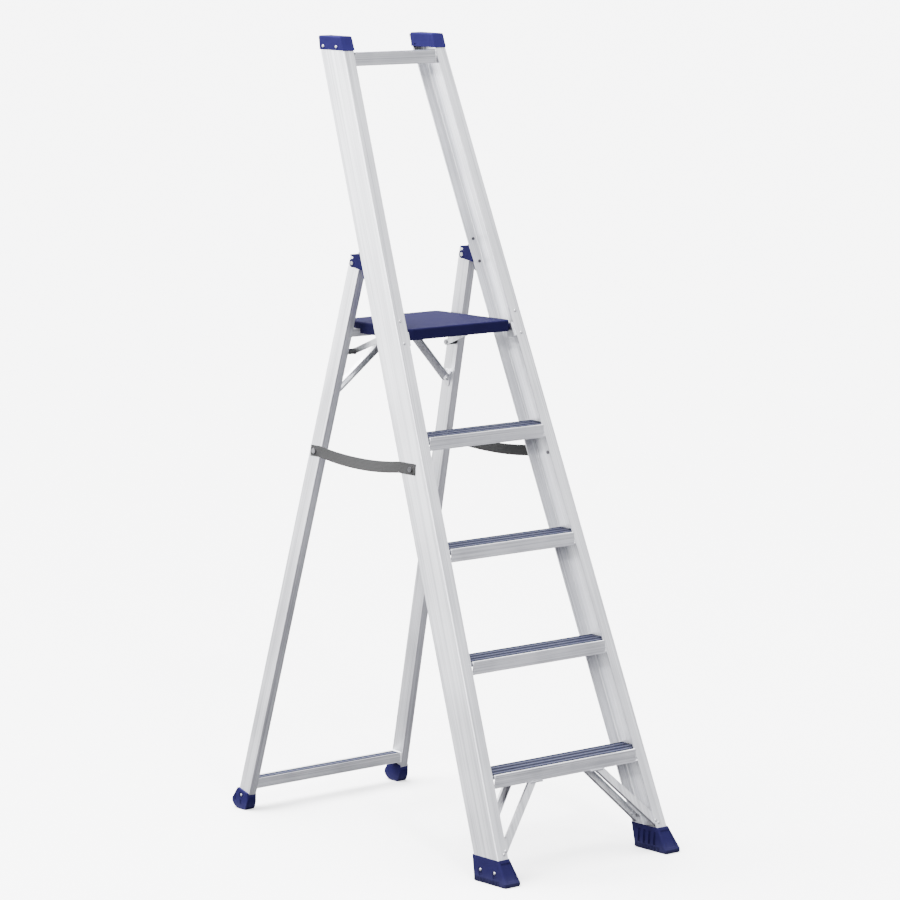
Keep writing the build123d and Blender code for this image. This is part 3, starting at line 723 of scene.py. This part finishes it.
def frontSeams():
    inwards = weld["flange"] + weld["clear"]
    gap = weld["endGap"]
    seams = []
    for node in ("tread_1", "tread_2", "tread_3", "tread_4", "head_bar"):
        low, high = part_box(node)
        for side in (1, -1):
            ends = []
            for z in (low.z + gap, high.z - gap):
                spot = stileSpot(z, inwards)
                y = max(spot.y + weld["forward"], low.y + weld["proud"])
                ends.append(Vector((side * spot.x, y, z)))
            if side > 0:
                seams.append((ends[0], ends[1]))
            corner = stileSpot(high.z, inwards)
            rear = corner.y + weld["treadBack"]
            top = Vector((side * corner.x, rear, high.z))
            if node != "head_bar" and rear < high.y + weld["bead"]:
                seams.append((top - Vector((0, weld["topRun"], 0)), top))
    return seams


def rearSeams():
    seams = []
    for node in ("upper_rear_bar", "lower_rear_bar"):
        low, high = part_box(node)
        for side in (1, -1):
            top = legSpot(high.z, weld["legWidth"])
            bottom = legSpot(low.z, weld["legWidth"])
            front = low.y - weld["legProud"]
            foot = Vector((side * bottom.x, front, low.z + weld["legEndGap"]))
            head = Vector((side * top.x, front, high.z - weld["legEndGap"]))
            seams.append((foot, head))
            near = Vector((side * top.x, low.y + weld["barEndGap"], high.z))
            far = Vector((side * top.x, high.y - weld["barEndGap"], high.z))
            seams.append((near, far))
    return seams


layBeads("frame_welds", frontSeams(), "front_frame")
layBeads("leg_welds", rearSeams(), "rear_frame")
print("welds")


# Studio

studio = {
    "floorRadius": 60.0,
    "floor": (0.93, 0.93, 0.935),
    "reflectedShade": (0.05, 0.05, 0.055),  # painted shade: the floor as the metal sees it in reflections and bounce, far darker than the pale floor the camera sees
    "bright": (1.0, 1.0, 1.01),
    "dim": (0.33, 0.335, 0.35),
    "skyStrength": 3.4,
    "lamps": (  # name, place, size, power
        ("key", (-2.6, -5.6, 5.2), 0.8, 500.0),
        ("side", (-5.0, 3.4, 2.2), 2.6, 260.0),
    ),
    "aim": (0, 0, 0.9),
    "wash": 17.0,  # a high sun that whitens the floor to the horizon
    "washAngle": 60.0,
    "washPlace": (-2, 3, 9),
    "slope": (-0.34, 0.34, 0.6),  # how the sky brightens along each axis
    "middle": 0.48,
}
view = {
    "lens": 165.5,
    "sensor": 36.0,
    "farthest": 200.0,
    "place": (-6.1646, -7.0871, 2.2943),
    "angles": (41.0, 8.49, 0.395),  # yaw, pitch and roll
}


def makeFloor():
    mesh = bpy.data.meshes.new("floor")
    grid = bmesh.new()
    bmesh.ops.create_circle(grid, cap_ends=True, segments=96, radius=studio["floorRadius"])
    grid.to_mesh(mesh)
    grid.free()
    finish = Finish("paleFloor", Specular_IOR_Level=0.1)
    spot, _ = finish.place()
    cloud = finish.noise(spot, 1.5, 3.0)
    light = studio["floor"]
    pale = finish.mix(cloud, tuple(0.985 * c for c in light), light)
    seen = finish.node("LightPath")  # whether it is looked at directly
    # pale only to camera rays; every other ray gets the dark floor colour, painted shade in the
    # metal's reflections
    colour = finish.mix(seen, studio["reflectedShade"], pale)
    addPiece("floor", mesh, finish.wear(Base_Color=colour, Roughness=0.8 + cloud * 0.1))


def addLamp(name, kind, place, aim):
    lamp = bpy.data.lights.new(name, kind)
    thing = bpy.data.objects.new(name, lamp)
    bpy.context.scene.collection.objects.link(thing)
    thing.location = place
    thing.rotation_mode = "QUATERNION"
    thing.rotation_quaternion = (Vector(aim) - Vector(place)).to_track_quat("-Z", "Y")
    return lamp


def makeLamps():
    for name, place, size, power in studio["lamps"]:
        lamp = addLamp(name, "AREA", place, studio["aim"])
        lamp.shape = "DISK"
        lamp.size = size
        lamp.energy = power
    wash = addLamp("wash", "SUN", studio["washPlace"], (0, 0, 0))
    wash.energy = studio["wash"]
    wash.angle = math.radians(studio["washAngle"])


def makeSky():  # a soft box all round, brighter from the left and from behind
    world = bpy.data.worlds.new("studio")
    bpy.context.scene.world = world
    world.use_nodes = True
    tree = world.node_tree
    sky = tree.nodes["Background"]
    sky.inputs["Strength"].default_value = studio["skyStrength"]
    spot = tree.nodes.new("ShaderNodeTexCoord")
    parts = tree.nodes.new("ShaderNodeSeparateXYZ")
    tree.links.new(spot.outputs["Generated"], parts.inputs[0])
    x, y, z = (Wire(tree, output) for output in parts.outputs)
    alongX, alongY, alongZ = studio["slope"]
    facing = x * alongX + y * alongY + z * alongZ + studio["middle"]
    level = tree.nodes.new("ShaderNodeMapRange")
    plug(tree, facing, level.inputs["Value"])
    mix = tree.nodes.new("ShaderNodeMix")
    mix.data_type = "RGBA"
    tree.links.new(level.outputs[0], mix.inputs[0])
    mix.inputs[6].default_value = (*studio["dim"], 1.0)
    mix.inputs[7].default_value = (*studio["bright"], 1.0)
    tree.links.new(mix.outputs[2], sky.inputs["Color"])


def makeCamera():
    lens = bpy.data.cameras.new("camera")
    lens.lens = view["lens"]
    lens.sensor_width = view["sensor"]
    lens.clip_end = view["farthest"]
    camera = bpy.data.objects.new("camera", lens)
    bpy.context.scene.collection.objects.link(camera)
    yaw, pitch, roll = (math.radians(angle) for angle in view["angles"])
    level = math.cos(pitch)
    aim = Vector((math.sin(yaw) * level, math.cos(yaw) * level, -math.sin(pitch)))
    turn = aim.to_track_quat("-Z", "Y").to_matrix() @ Matrix.Rotation(roll, 3, "Z")
    camera.matrix_world = Matrix.Translation(view["place"]) @ turn.to_4x4()
    bpy.context.scene.camera = camera


makeFloor()
makeLamps()
makeSky()
makeCamera()
print("studio")
